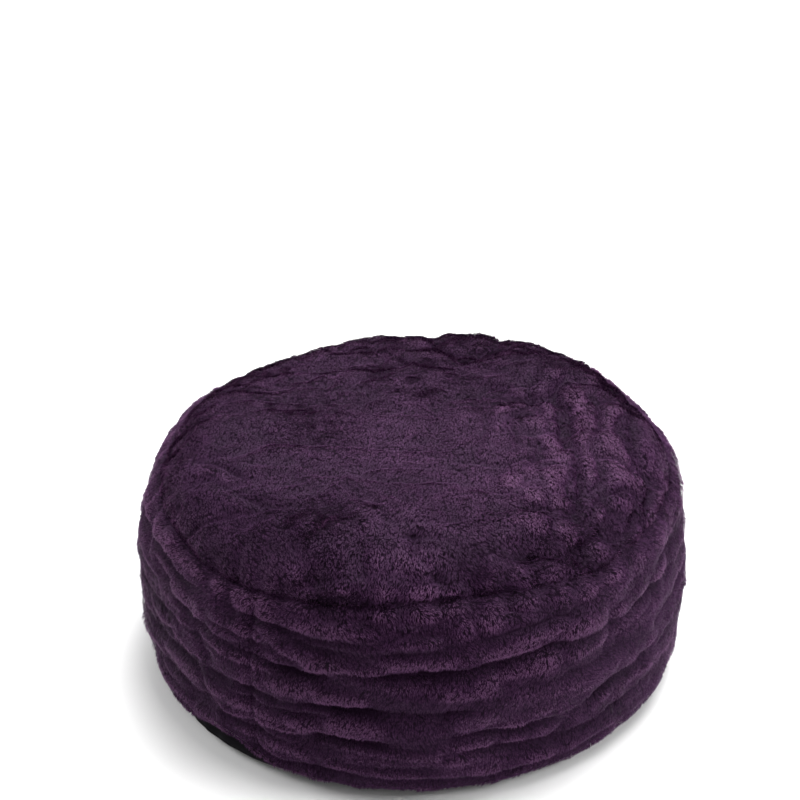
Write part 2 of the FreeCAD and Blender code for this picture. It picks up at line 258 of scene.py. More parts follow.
def read_outline():
    """The bag's half section, from the middle of the base up to the middle of the top.

    It is the convex outline of the cover panels' vertices, as radius and height.
    """
    places = []
    for name in ("cover_top_panel", "cover_side_panel_right", "cover_base_panel"):
        x, y, z = vertex_places(nodes[name].data).T
        places.append(np.stack([np.hypot(x, y), z], 1))
    places = np.concatenate(places)
    places = np.unique(np.round(places, 5), axis=0)
    places = places[np.lexsort((places[:, 0], places[:, 1]))]
    outline = [np.array([0.0, 0.0])]
    for place in places:
        while len(outline) > 1:
            before = outline[-1] - outline[-2]
            after = place - outline[-1]
            if before[0] * after[1] - before[1] * after[0] > 0:
                break
            outline.pop()
        outline.append(place)
    outline.append(np.array([0.0, bag_height]))
    return np.array(outline)


def soft_slope(values):
    """The slope of values along the outline, averaged so that its corners don't show."""
    slope = np.gradient(values, fine_length)
    return np.convolve(np.pad(slope, 7, mode="edge"), np.ones(15) / 15, mode="valid")


outline = read_outline()
outline_length = distance_along(outline)
total_length = outline_length[-1]
fine_length = np.linspace(0, total_length, 1500)
fine_radius = np.interp(fine_length, outline_length, outline[:, 0])
fine_height = np.interp(fine_length, outline_length, outline[:, 1])
slope_radius = soft_slope(fine_radius)
slope_height = soft_slope(fine_height)


def length_at_height(height):
    """Distance along the outline, from the middle of the base, to a height on the side."""
    rising = slice(5, -5)
    return np.interp(height, fine_height[rising], fine_length[rising])


def on_bag(angle, length, lift):
    """Points at an angle round the bag and a length along its outline, moved out by lift."""
    radius = np.interp(length, fine_length, fine_radius)
    height = np.interp(length, fine_length, fine_height)
    out = np.interp(length, fine_length, slope_height)
    up = -np.interp(length, fine_length, slope_radius)
    scale = 1 / np.maximum(np.hypot(out, up), 1e-9)
    across = radius + lift * out * scale
    turn = np.radians(angle)
    return np.stack([across * np.sin(turn), -across * np.cos(turn), height + lift * up * scale], -1)


# ---- folds of the stuffed cover

# How far the top seam strays up along the outline, in metres, at angles round the front
seam_sway = (
    (-62, 0.0), (-50, -0.010), (-34, -0.011), (-24, -0.003), (-8, 0.004), (14, 0.009), (26, 0.004), (42, 0.0)
)

# Folds that run round the side, as (angle, share of the top seam's height) along each one, with its depth
front_folds = (
    (0.0075, ((-50, 0.86), (-40, 0.845), (-32, 0.84), (-20, 0.81), (-6, 0.82),
              (3, 0.83), (12, 0.866), (32, 0.90), (52, 0.93))),
    (0.0115, ((-70, 0.80), (-63, 0.77), (-58, 0.71), (-47, 0.69), (-36, 0.67),
              (-28, 0.645), (-21, 0.65), (-10, 0.685))),
    (0.0120, ((-20, 0.70), (-10, 0.69), (2, 0.70), (14, 0.73), (29, 0.76),
              (42, 0.73), (60, 0.73), (75, 0.72))),
    (0.0085, ((-68, 0.55), (-60, 0.58), (-47, 0.62), (-38, 0.60), (-29, 0.595), (-22, 0.61))),
    (0.0095, ((-72, 0.44), (-58, 0.485), (-46, 0.463), (-32, 0.463), (-20, 0.475),
              (-8, 0.50), (6, 0.51), (16, 0.53))),
    (0.0085, ((0, 0.40), (10, 0.375), (22, 0.36), (31, 0.375), (40, 0.40), (52, 0.44), (66, 0.46))),
    (0.0085, ((-66, 0.32), (-58, 0.297), (-48, 0.276), (-38, 0.26), (-30, 0.275),
              (-18, 0.315), (-6, 0.33), (8, 0.335))),
    (0.0080, ((4, 0.30), (14, 0.275), (28, 0.25), (40, 0.245), (56, 0.28))),
    (0.0080, ((-40, 0.125), (-26, 0.115), (-14, 0.135), (4, 0.14), (20, 0.115), (36, 0.13), (50, 0.15))),
    (0.0050, ((-66, 0.62), (-60, 0.51), (-52, 0.44), (-40, 0.40))),
    (0.0060, ((18, 0.60), (32, 0.61), (46, 0.585), (60, 0.56))),
)

# Folds of the top, as (x, y) along each one in shares of the bag's radius, with its depth
top_folds = (
    (0.0050, ((0.40, 0.36), (0.44, 0.18), (0.42, 0.0), (0.45, -0.18), (0.41, -0.34))),
    (0.0095, ((0.57, 0.44), (0.55, 0.16), (0.55, -0.03), (0.57, -0.22), (0.55, -0.46), (0.49, -0.62))),
    (0.0080, ((0.66, 0.30), (0.70, 0.06), (0.67, -0.12), (0.69, -0.30), (0.63, -0.50))),
    (0.0070, ((0.79, 0.16), (0.77, -0.03), (0.81, -0.16), (0.84, -0.30))),
    (0.0055, ((0.40, 0.10), (0.52, 0.06), (0.64, 0.12), (0.76, 0.06))),
    (0.0055, ((0.44, -0.34), (0.54, -0.30), (0.66, -0.38), (0.78, -0.30))),
    (0.0070, ((0.30, 0.62), (0.52, 0.47), (0.68, 0.37), (0.76, 0.22))),
    (0.0060, ((0.55, -0.20), (0.66, -0.24), (0.76, -0.22), (0.84, -0.26))),
    (0.0090, ((0.45, -0.55), (0.57, -0.57), (0.64, -0.48), (0.72, -0.42), (0.82, -0.33))),
    (0.0100, ((0.24, -0.76), (0.36, -0.74), (0.48, -0.72), (0.60, -0.63), (0.72, -0.54), (0.80, -0.42))),
    (0.0070, ((0.05, -0.66), (0.06, -0.78), (0.07, -0.88))),
    (0.0040, ((-0.90, 0.02), (-0.84, -0.14), (-0.70, -0.28), (-0.50, -0.38))),
    (0.0035, ((-0.82, 0.20), (-0.66, 0.06), (-0.44, -0.02))),
    (0.0040, ((-0.80, -0.33), (-0.66, -0.42), (-0.44, -0.52), (-0.2, -0.60))),
    (0.0050, ((-0.50, 0.70), (-0.30, 0.60), (-0.05, 0.58), (0.2, 0.66))),
)


def draw_rear_folds():
    """Folds round the sides and back that continue the front ones, at about the same spacing."""
    rng = np.random.default_rng(5)
    folds = []
    for share in (0.13, 0.27, 0.42, 0.57, 0.71, 0.86):
        start = rng.uniform(52, 68)
        while start < 296:
            end = start + rng.uniform(45, 95)
            angles = np.linspace(start, end, 6)
            shares = share + rng.uniform(-0.028, 0.028, 6) + rng.uniform(-0.02, 0.02)
            folds.append((rng.uniform(0.006, 0.0105), tuple(zip(angles, shares))))
            start = end - rng.uniform(4, 20)
    return folds


rear_folds = draw_rear_folds()


def top_seam_length(angle):
    """The top seam's place along the outline: it sways in front, and creeps inwards round the back."""
    turn = turn_between(angle, 0)
    creep = 0.040 * ramp(np.abs(turn), 78, 125)
    waver = 0.003 * np.sin(np.radians(3 * angle + 40)) + 0.002 * np.sin(np.radians(7 * angle))
    sway = np.interp(turn, [place[0] for place in seam_sway], [place[1] for place in seam_sway])
    return length_at_height(top_seam_height) + creep + waver + sway


def in_zipper(angle, margin=-zipper_lap):
    """1 along the zipper, 0 away from it. The plush laps a little over the ends of the tapes."""
    middle = (zipper_from + zipper_to) / 2
    half = (zipper_to - zipper_from) / 2 + margin
    return 1 - ramp(np.abs(turn_between(angle, middle)), half, half + 1.5)


def on_bare_edge(angle):
    """1 where the black base shows under the plush, 0 away from there."""
    return 1 - ramp(np.abs(turn_between(angle, bare_edge_angle)), bare_edge_core, bare_edge_half)


def base_seam_length(angle):
    """The lower edge of the plush along the outline."""
    height = rolled_edge_height + bare_edge_rise * on_bare_edge(angle)
    height = np.maximum(height, zipper_edge * in_zipper(angle))
    return length_at_height(height)


def base_cloth_length(angle):
    """The upper edge of the base cloth: at the plush's edge, or on the zipper's lower tape."""
    zipper = in_zipper(angle)
    return base_seam_length(angle) * (1 - zipper) + length_at_height(base_seam_height + 0.002) * zipper


def lumps(points):
    """Slow uneven swelling of the loose fill, which has slumped towards the back right."""
    angle = angle_of_points(points)
    fuller = full_swell * bell(angle, full_angle, full_spread)
    slacker = slack_sink * bell(angle, slack_angle, slack_spread)
    far_out = ramp(np.hypot(points[..., 0], points[..., 1]), 0.12, 0.26)
    slump = (fuller - slacker) * far_out * ramp(points[..., 2], 0.14, 0.25)
    swell = 0.0035 * noise(points, 0.16, 11) + 0.0015 * noise(points, 0.07, 12) - 0.003 + slump
    return swell * ramp(points[..., 2], 0.018, 0.060)


def seam_groove(angle, points, away):
    """The top seam's groove with its gathered puckers, on either side of it."""
    left_front = bell(angle, deep_groove_angle, deep_groove_spread)
    pinch = bell(angle, pinch_angle, pinch_spread)
    strength = 0.48 + 0.22 * noise(points, 0.1, 24) + 0.60 * left_front + 0.75 * pinch
    puckers = np.sin(np.radians(angle) * puckers_per_turn + 3 * noise(points, 0.12, 25))
    groove = -groove_depth * strength * np.exp(-away / groove_width)
    return groove + 0.0014 * puckers * np.exp(-away / 0.022)


def side_relief(angle, length):
    """How far the side's backing lies from the outline: shingled folds, lumps and seam grooves."""
    points = on_bag(angle, length, 0.0)
    turn = turn_between(angle, 0)
    height = points[..., 2] + 0.0026 * noise(points, 0.055, 20) + 0.0008 * noise(points, 0.02, 19)
    broken = 0.72 + 0.42 * noise(points, 0.055, 18)
    folds = np.zeros(points.shape[:-1])
    for depth, places in (*front_folds, *rear_folds):
        angles = np.array([place[0] for place in places])
        heights = np.array([place[1] for place in places]) * top_seam_height
        around = turn if angles[0] < 90 and angles[-1] < 90 else angle % 360
        above = height - np.interp(around, angles, heights)
        taper = ramp(around, angles[0] - 1, angles[0] + 9)
        taper = taper * (1 - ramp(around, angles[-1] - 9, angles[-1] + 1))
        upper = np.exp(-(np.abs(above) / fold_upper_width) ** 1.3)
        lower = np.exp(-np.abs(above) / fold_lower_width)
        shape = np.where(above > 0, upper, lower) * broken
        folds = np.minimum(folds, -fold_strength * depth * taper * shape)
    furrows = noise(points * (0.5, 0.5, 3.4), 0.034, 23)
    ridges = creases(points * (0.28, 0.28, 1), 0.019, 28)
    folds = folds + 0.0018 * furrows - 0.0034 * (1 - ridges)
    to_low = length - base_seam_length(angle)
    to_high = top_seam_length(angle) - length
    calm = ramp(to_low, 0.003, 0.018) * ramp(to_high, 0.004, 0.020)
    near_zipper = in_zipper(angle, 3) * (1 - ramp(to_low, 0.012, 0.04))
    folds = folds * calm * (1 - 0.9 * near_zipper)
    relief = -pile_depth + folds + lumps(points) + seam_groove(angle, points, to_high)
    edge = base_groove_depth * (0.25 + 0.75 * on_bare_edge(angle))
    relief = relief - edge * np.exp(-to_low / 0.006)
    for seam_angle in (front_seam_angle, rear_seam_angle):
        aside = np.abs(turn_between(angle, seam_angle)) * np.radians(1) * bag_radius
        relief = relief - side_seam_depth * np.exp(-aside / side_seam_width) * calm
    return relief + 0.0006 * noise(points, 0.012, 26)


def fold_distance(x, y, places):
    """Signed distance from points to a fold's line, and how far along it they are, from 0 to 1."""
    line = np.array(places) * bag_radius
    best = np.full(x.shape, 1e9)
    signed = np.zeros(x.shape)
    along = np.zeros(x.shape)
    for order, (start, end) in enumerate(zip(line[:-1], line[1:])):
        step = end - start
        share = ((x - start[0]) * step[0] + (y - start[1]) * step[1]) / (step @ step)
        share = np.clip(share, 0, 1)
        gap_x = x - start[0] - share * step[0]
        gap_y = y - start[1] - share * step[1]
        gap = np.hypot(gap_x, gap_y)
        nearer = gap < best
        side = np.sign(step[0] * gap_y - step[1] * gap_x)
        best = np.where(nearer, gap, best)
        signed = np.where(nearer, gap * side, signed)
        along = np.where(nearer, (order + share) / (len(line) - 1), along)
    return signed, along


def top_relief(angle, length):
    """How far the top's backing lies from the outline: folds, crumples and a sat-in middle."""
    points = on_bag(angle, length, 0.0)
    x = points[..., 0] + 0.015 * noise(points, 0.060, 31) + 0.005 * noise(points, 0.024, 38)
    y = points[..., 1] + 0.013 * noise(points, 0.055, 32)
    broken = 0.70 + 0.60 * noise(points, 0.045, 39)
    to_seam = length - top_seam_length(angle)
    right = ramp(x + 0.25 * y, -0.06, 0.14)
    folds = np.zeros(points.shape[:-1])
    for depth, places in top_folds:
        signed, along = fold_distance(x, y, places)
        taper = ramp(along, 0, 0.15) * (1 - ramp(along, 0.85, 1))
        width = np.where(signed > 0, *top_fold_widths)
        shape = np.exp(-np.abs(signed) / width)
        folds = np.minimum(folds, -fold_strength * depth * taper * shape * broken)
    calm = ramp(to_seam, 0.003, 0.022)
    crumple = 1 - creases(points * (1, 0.6, 1), 0.075, 33)
    small = 1 - creases(points, 0.034, 34)
    faint = 1 - creases(points * (0.45, 1.6, 1), 0.060, 35)
    folds = folds - 0.0085 * right * crumple - 0.0042 * right * small - (0.0007 + 0.002 * (1 - right)) * faint
    folds = folds + 0.0012 * noise(points, 0.022, 36)
    sat = np.exp(-((x / sat_half_x) ** 2 + ((y + sat_forward) / sat_half_y) ** 2))
    relief = -pile_depth + (folds - sat_depth * sat) * calm + lumps(points)
    return relief + seam_groove(angle, points, to_seam) + 0.0006 * noise(points, 0.012, 26)


def base_relief(angle, length):
    """How far the base cloth lies from the outline: flat below, pleated round its rim."""
    points = on_bag(angle, length, 0.0)
    flat_to = length_at_height(0.004)
    rim = ramp(length, flat_to, flat_to + 0.02)
    pleats = 0.0012 * np.sin(np.radians(angle) * 60 + 3 * noise(points, 0.1, 41))
    edge = np.exp(-(base_cloth_length(angle) - length) / 0.006) * (1 - in_zipper(angle))
    return (pleats - 0.0012) * rim - base_groove_depth * edge


def cover_relief(angle, length):
    """The cover's relief anywhere on the bag."""
    on_top = length > top_seam_length(angle)
    relief = np.where(on_top, top_relief(angle, length), side_relief(angle, length))
    return np.where(length < base_seam_length(angle), base_relief(angle, length), relief)


def liner_relief(angle, length):
    """The liner's relief: close inside the cover, and never beyond its shape in the frame."""
    depth = np.minimum(cover_relief(angle, length) - liner_depth, -liner_least_depth)
    rise = ramp(length, length_at_height(0.002), length_at_height(0.022))
    return depth * rise - liner_floor * (1 - rise) - zipper_room * in_zipper(angle) * rise


def zipper_channel(points):
    """A raised channel in the liner's base, over its zipper."""
    x_inside = 1 - ramp(np.abs(points[..., 0]), channel_half_length, channel_half_length + 0.007)
    y_inside = 1 - ramp(np.abs(points[..., 1]), channel_half_width, channel_half_width + 0.005)
    return channel_height * x_inside * y_inside


# ---- meshes

def new_object(name, points, faces, smooth=True):
    """A mesh from its points, in rows of any shape, and its faces as an array or a list."""
    mesh = bpy.data.meshes.new(name)
    faces = faces.tolist() if isinstance(faces, np.ndarray) else faces
    mesh.from_pydata(np.asarray(points).reshape(-1, 3).tolist(), [], faces)
    mesh.update()
    if smooth:
        mesh.shade_smooth()
    piece = bpy.data.objects.new(name, mesh)
    bpy.context.scene.collection.objects.link(piece)
    return piece


def set_tone(piece, relief, cells=7):
    """Stores how far each point of a grid stands out from its surroundings, as the attribute tone. The pile
    paints shade in the folds and highlights on the crests from it.
    """
    kernel = np.ones(2 * cells + 1) / (2 * cells + 1)
    around = relief
    for axis in (0, 1):
        margins = [(cells, cells) if axis == other else (0, 0) for other in (0, 1)]
        padded = np.pad(around, margins, mode="edge")
        around = np.apply_along_axis(np.convolve, axis, padded, kernel, mode="valid")
    attribute = piece.data.attributes.new("tone", "FLOAT", "POINT")
    attribute.data.foreach_set("value", (relief - around).ravel())


def grid_faces(rows, columns, closed=False):
    """Quads of a grid of points. A closed grid joins its last column to its first."""
    row = np.arange(rows - 1)[:, None]
    column = np.arange(columns if closed else columns - 1)[None, :]
    beside = (column + 1) % columns
    corners = [row * columns + column, row * columns + beside]
    corners += [(row + 1) * columns + beside, (row + 1) * columns + column]
    return np.stack(np.broadcast_arrays(*corners), -1).reshape(-1, 4)


def thicken(piece, thickness):
    """Gives a sheet its thickness, inwards, and applies it."""
    modifier = piece.modifiers.new("thickness", "SOLIDIFY")
    modifier.thickness = thickness
    modifier.offset = -1
    bpy.context.view_layer.objects.active = piece
    with bpy.context.temp_override(object=piece, active_object=piece):
        bpy.ops.object.modifier_apply(modifier=modifier.name)


def side_strip(name, start, end, step, relief=side_relief, low=base_seam_length, high=top_seam_length):
    """A strip of the side between two angles and two seams."""
    columns = int(abs(end - start) / 360 * 2 * math.pi * bag_radius / step) + 1
    rows = int((high(0.0) - low(0.0)) / step) + 1
    angle = np.linspace(start, end, columns)[None, :]
    share = np.linspace(0, 1, rows)[:, None]
    length = low(angle) + (high(angle) - low(angle)) * share
    angle = np.broadcast_to(angle, length.shape)
    lift = relief(angle, length)
    piece = new_object(name, on_cover(angle, length, lift), grid_faces(rows, columns))
    set_tone(piece, lift)
    return piece


def round_grid(cells):
    """Points of a square grid pressed into a disc, as an angle and a share of the radius."""
    side = np.linspace(-1, 1, cells + 1)
    x, y = np.meshgrid(side, side)
    round_x = x * np.sqrt(1 - y * y / 2)
    round_y = y * np.sqrt(1 - x * x / 2)
    return np.degrees(np.arctan2(round_x, -round_y)), np.minimum(1.0, np.hypot(round_x, round_y))


def top_disc(name, cells, relief=top_relief, seam=top_seam_length):
    angle, share = round_grid(cells)
    length = total_length - share * (total_length - seam(angle))
    lift = relief(angle, length)
    piece = new_object(name, on_cover(angle, length, lift), grid_faces(cells + 1, cells + 1))
    set_tone(piece, lift)
    return piece


def base_dish(name, cells, relief=base_relief, seam=base_cloth_length, floor=0.0, channel=False):
    """A base panel: flat on the floor in the middle, and curved up to its seam at the rim."""
    angle, share = round_grid(cells)
    length = share * seam(angle)
    points = on_cover(angle, length, relief(angle, length))
    points[..., 2] = np.maximum(points[..., 2], floor)
    if channel:
        points[..., 2] += zipper_channel(points)
    return new_object(name, points, grid_faces(cells + 1, cells + 1)[:, ::-1])


def stitch_line(name, line, spacing, radius, sides=5, rings=4):
    """A row of separate stitches along a line, each a short thread that dips in at both ends."""
    distance = distance_along(line)
    count = int(distance[-1] / spacing)
    starts = np.arange(count) * spacing
    share = np.linspace(0, 1, rings)
    places = starts[:, None] + share * spacing * 0.82
    centre = at_distances(places, distance, line)
    along = unit(np.roll(centre, -1, axis=1) - np.roll(centre, 1, axis=1))
    along[:, 0] = unit(centre[:, 1] - centre[:, 0])
    along[:, -1] = unit(centre[:, -1] - centre[:, -2])
    out = unit(centre * (1, 1, 0) + (0, 0, 0.15))
    centre = centre + out * (np.sin(np.pi * share) * radius * 1.4)[:, None]
    across = unit(np.cross(along, out))
    out = np.cross(across, along)
    width = radius * (0.55 + 0.45 * np.sin(np.pi * share))
    points = centre[:, :, None] + unit_circles(across, out, sides) * width[:, None, None]
    tube = grid_faces(rings, sides, closed=True)
    ends = [list(range(sides))[::-1], [(rings - 1) * sides + i for i in range(sides)]]
    faces = []
    for stitch in range(count):
        first = stitch * rings * sides
        faces += (tube + first).tolist()
        faces += [[corner + first for corner in end] for end in ends]
    return new_object(name, points, faces)


def coil_along(name, line, across, outward, width, height, pitch, wire_radius, sides=5):
    """A zipper's coil: flattened turns of one nylon wire along a line."""
    distance = distance_along(line)
    turns = int(distance[-1] / pitch)
    steps = turns * 9 + 1
    phase = np.linspace(0, turns * 2 * math.pi, steps)
    places = np.linspace(0, distance[-1], steps)
    centre = at_distances(places, distance, line)
    side = at_distances(places, distance, across)
    out = at_distances(places, distance, outward)
    half_width = width / 2 - wire_radius
    half_height = height / 2 - wire_radius
    wire_line = centre + side * (np.cos(phase) * half_width)[:, None]
    wire_line = wire_line + out * (np.sin(phase) * half_height)[:, None]
    along = unit(np.gradient(wire_line, axis=0))
    first = unit(np.cross(along, out + side * 0.01))
    second = np.cross(along, first)
    points = wire_line[:, None] + unit_circles(first, second, sides) * wire_radius
    return new_object(name, points, grid_faces(steps, sides, closed=True))


# ---- cloth simulation of the cover

def pinned_share(angle, length, relief):
    """How firmly the cloth is held: by its seams, and where the folds are pinched in."""
    seam = 1 - ramp(np.abs(length - top_seam_length(angle)), 0.004, 0.010)
    base = 1 - ramp(length - base_seam_length(angle), 0.006, 0.014)
    upright = np.minimum(
        np.abs(turn_between(angle, front_seam_angle)), np.abs(turn_between(angle, rear_seam_angle))
    )
    upright = 1 - ramp(upright, 0.8, 1.8)
    pinch = ramp(-relief, 0.013, 0.021)
    middle = ramp(length, total_length - 0.030, total_length - 0.015)
    return np.max([seam, base, upright, 0.9 * pinch, middle], axis=0)


def simulate_cover():
    """Lets the cover's cloth, cut a little too large, buckle and swell between its seams and folds.

    It returns the movement of a grid of points over the bag, by length and angle.
    """
    angle = np.linspace(0, 360, settle_columns, endpoint=False)[None, :]
    length = np.linspace(settle_start, total_length - settle_end_room, settle_rows)[:, None]
    angle, length = np.broadcast_arrays(angle, length)
    relief = cover_relief(angle, length)
    start = on_bag(angle, length, relief).reshape(-1, 3)
    piece = new_object("settling_cover", start, grid_faces(settle_rows, settle_columns, closed=True))
    group = piece.vertex_groups.new(name="held")
    held = pinned_share(angle, length, relief).ravel()
    for step in range(1, 11):
        chosen = np.nonzero(np.round(held * 10) == step)[0].tolist()
        group.add(chosen, step / 10, "REPLACE")
    cloth = piece.modifiers.new("cloth", "CLOTH")
    settings = cloth.settings
    settings.quality = 4
    settings.mass = 0.4
    settings.tension_stiffness = 20
    settings.compression_stiffness = 20
    settings.shear_stiffness = 10
    settings.bending_stiffness = 2.0
    settings.air_damping = 3
    settings.shrink_min = -cloth_excess
    settings.use_pressure = True
    settings.uniform_pressure_force = 1.2
    settings.vertex_group_mass = "held"
    settings.pin_stiffness = 1.0
    settings.effector_weights.gravity = 0
    cloth.collision_settings.use_collision = False
    cloth.point_cache.frame_end = settle_frames
    scene = bpy.context.scene
    for frame_number in range(1, settle_frames + 1):
        scene.frame_set(frame_number)
    settled_mesh = piece.evaluated_get(bpy.context.evaluated_depsgraph_get()).to_mesh()
    move = vertex_places(settled_mesh) - start
    scene.frame_set(1)
    bpy.data.objects.remove(piece)
    size = np.linalg.norm(move, axis=1, keepdims=True)
    move = move * np.minimum(1, cloth_move_limit / np.maximum(size, 1e-9))
    return move.reshape(settle_rows, settle_columns, 3)


cloth_move = np.zeros((settle_rows, settle_columns, 3))


def settled(angle, length):
    """The simulated movement of the cloth at an angle and a length along the outline."""
    settle_span = total_length - settle_end_room - settle_start
    row = (np.asarray(length) - settle_start) / settle_span * (settle_rows - 1)
    row = np.clip(row, 0, settle_rows - 1.001)
    column = (np.asarray(angle) % 360) / 360 * settle_columns
    row, column = np.broadcast_arrays(row, column)
    low_row = row.astype(int)
    low_column = column.astype(int) % settle_columns
    next_column = (low_column + 1) % settle_columns
    row_share = (row - low_row)[..., None]
    column_share = (column - np.floor(column))[..., None]
    moves = []
    for near in (low_row, low_row + 1):
        before = cloth_move[near, low_column]
        after = cloth_move[near, next_column]
        moves.append(before * (1 - column_share) + after * column_share)
    return moves[0] * (1 - row_share) + moves[1] * row_share


def on_cover(angle, length, lift):
    """Points at an angle round the bag and a length along its outline, on the settled cloth."""
    return on_bag(angle, length, lift) + settled(angle, length)


# ---- materials

def shader_of(material):
    return material.node_tree.nodes["Principled BSDF"]


def new_material(name, colour, roughness, sheen=0.0, sheen_colour=None, sheen_roughness=0.4):
    material = bpy.data.materials.new(name)
    material.use_nodes = True
    shader = shader_of(material)
    shader.inputs["Base Color"].default_value = (*colour, 1)
    shader.inputs["Roughness"].default_value = roughness
    shader.inputs["Specular IOR Level"].default_value = 0.12
    shader.inputs["Sheen Weight"].default_value = sheen
    shader.inputs["Sheen Roughness"].default_value = sheen_roughness
    shader.inputs["Sheen Tint"].default_value = (*(sheen_colour or colour), 1)
    return material


def add_node(material, kind, **settings):
    node = material.node_tree.nodes.new(kind)
    for key, value in settings.items():
        if key in node.inputs:
            node.inputs[key].default_value = value
        else:
            setattr(node, key, value)
    return node


def wire(material, source, target):
    material.node_tree.links.new(source, target)


def mottle(material, dark, light, size, detail=4.0):
    """Colours a material between two shades in uneven patches of about the given size."""
    place = add_node(material, "ShaderNodeTexCoord")
    pattern = add_node(material, "ShaderNodeTexNoise", Scale=1 / size, Detail=detail, Roughness=0.6)
    shades = add_node(material, "ShaderNodeValToRGB")
    shades.color_ramp.elements[0].position = 0.35
    shades.color_ramp.elements[0].color = (*dark, 1)
    shades.color_ramp.elements[1].position = 0.68
    shades.color_ramp.elements[1].color = (*light, 1)
    wire(material, place.outputs["Object"], pattern.inputs["Vector"])
    wire(material, pattern.outputs["Fac"], shades.inputs["Fac"])
    wire(material, shades.outputs["Color"], shader_of(material).inputs["Base Color"])
    return place


def add_bump(material, pattern, strength, depth):
    """Fine relief of the given depth, from a pattern."""
    bump = add_node(material, "ShaderNodeBump", Strength=strength, Distance=depth)
    wire(material, pattern, bump.inputs["Height"])
    wire(material, bump.outputs["Normal"], shader_of(material).inputs["Normal"])


def weave_bump(material, place, thread, depth):
    """Raised threads of a plain weave, as wide as thread."""
    threads = []
    for direction in ("X", "Y"):
        scale = 0.5 / thread / math.pi
        wave = add_node(material, "ShaderNodeTexWave", Scale=scale, bands_direction=direction)
        wire(material, place.outputs["Object"], wave.inputs["Vector"])
        threads.append(wave)
    both = add_node(material, "ShaderNodeMath", operation="MULTIPLY")
    wire(material, threads[0].outputs["Fac"], both.inputs[0])
    wire(material, threads[1].outputs["Fac"], both.inputs[1])
    add_bump(material, both.outputs["Value"], 0.6, depth)


def cloth_material(name, dark, light, patch, thread, depth, roughness=0.85, sheen=0.2):
    material = new_material(name, dark, roughness, sheen, light)
    place = mottle(material, dark, light, patch)
    weave_bump(material, place, thread, depth)
    return material


plum_dark = (0.008, 0.0020, 0.009)
plum_backing = (0.016, 0.0045, 0.018)
pile_root = new_material("pile_root", (0.018, 0.0048, 0.020), 0.9, 0.2, (0.30, 0.11, 0.31))
tip_colours = ((0.024, 0.0066, 0.028), (0.036, 0.0105, 0.040), (0.056, 0.0180, 0.060), (0.105, 0.041, 0.104))
pile_shades = [
    new_material(f"pile_tip_{i}", shade, 0.6, 0.6, (0.44, 0.185, 0.43), 0.3)
    for i, shade in enumerate(tip_colours)
]
backing_cloth = cloth_material("plush_backing", plum_dark, plum_backing, 0.02, 0.0008, 0.0004)
base_cloth = cloth_material(
    "base_cloth", (0.0015, 0.0012, 0.002), (0.004, 0.003, 0.005), 0.03, 0.0007, 0.0003, 0.95, 0.0
)
liner_cloth = cloth_material("liner_cloth", (0.55, 0.54, 0.50), (0.66, 0.65, 0.61), 0.05, 0.0006, 0.0002)
foam_stuff = cloth_material("foam", (0.52, 0.44, 0.26), (0.72, 0.66, 0.44), 0.03, 0.0020, 0.0008)


# ---- pile

def read_surface(piece):
    """A mesh's triangles as corner places, corner normals, corner tones and areas."""
    mesh = piece.data
    mesh.calc_loop_triangles()
    places = vertex_places(mesh)
    normals = np.empty(len(mesh.vertices) * 3)
    mesh.vertex_normals.foreach_get("vector", normals)
    normals = normals.reshape(-1, 3)
    tone = np.empty(len(mesh.vertices))
    mesh.attributes["tone"].data.foreach_get("value", tone)
    corners = np.empty(len(mesh.loop_triangles) * 3, dtype=int)
    mesh.loop_triangles.foreach_get("vertices", corners)
    corners = corners.reshape(-1, 3)
    a, b, c = (places[corners[:, i]] for i in range(3))
    areas = np.linalg.norm(np.cross(b - a, c - a), axis=1) / 2
    return places[corners], normals[corners], tone[corners], areas


def scatter(piece, density, rng):
    """Random roots spread evenly over a sheet, with its normal and tone at each."""
    places, normals, tone, areas = read_surface(piece)
    count = int(areas.sum() * density)
    chosen = rng.choice(len(areas), count, p=areas / areas.sum())
    first = np.sqrt(rng.random((count, 1)))
    second = rng.random((count, 1))
    weights = np.concatenate([1 - first, first * (1 - second), first * second], 1)[..., None]
    roots = (places[chosen] * weights).sum(1)
    return roots, unit((normals[chosen] * weights).sum(1)), (tone[chosen] * weights[..., 0]).sum(1)


def short_near_fittings(roots):
    """Shorter pile beside the zipper and under the care tag, so that it doesn't grow through them."""
    angle = angle_of_points(roots)
    near_zipper = in_zipper(angle, 4) * (1 - ramp(roots[:, 2], 0.046, 0.060))
    aside = np.abs(turn_between(angle, angle_of_node("care_tag"))) * math.radians(1) * bag_radius
    under_tag = (1 - ramp(aside, 0.017, 0.021)) * (1 - ramp(roots[:, 2], 0.054, 0.060))
    return 1 - np.maximum(0.35 * near_zipper, 0.55 * under_tag)


def nap_direction(roots, normals, on_top):
    """Which way the pile has been brushed: forwards on the top and down the side, with swirls."""
    if on_top:
        brushed = np.stack([0.5 * noise(roots, 0.09, 51), -0.8 + 0.7 * noise(roots, 0.11, 52)], 1)
        brushed = np.concatenate([brushed, np.zeros((len(roots), 1))], 1)
    else:
        turn = np.arctan2(roots[:, 0], -roots[:, 1])
        sideways = 0.7 * noise(roots, 0.07, 53)
        brushed = np.stack([np.cos(turn) * sideways, np.sin(turn) * sideways], 1)
        brushed = np.concatenate([brushed, np.full((len(roots), 1), -0.8)], 1)
    brushed = brushed + 0.35 * np.stack([noise(roots, 0.012, 54 + i) for i in range(3)], 1)
    brushed = brushed - normals * (brushed * normals).sum(1, keepdims=True)
    return brushed


def gather_in_locks(roots, tips, rng):
    """Draws the tips together in small pointed locks."""
    leaders = rng.choice(len(roots), len(roots) // tufts_in_a_lock, replace=False)
    tree = kdtree.KDTree(len(leaders))
    for order, leader in enumerate(leaders):
        tree.insert(roots[leader], order)
    tree.balance()
    nearest = np.array([tree.find(root)[1] for root in roots])
    leader = leaders[nearest]
    return tips + lock_pull * (tips[leader] - tips), leader


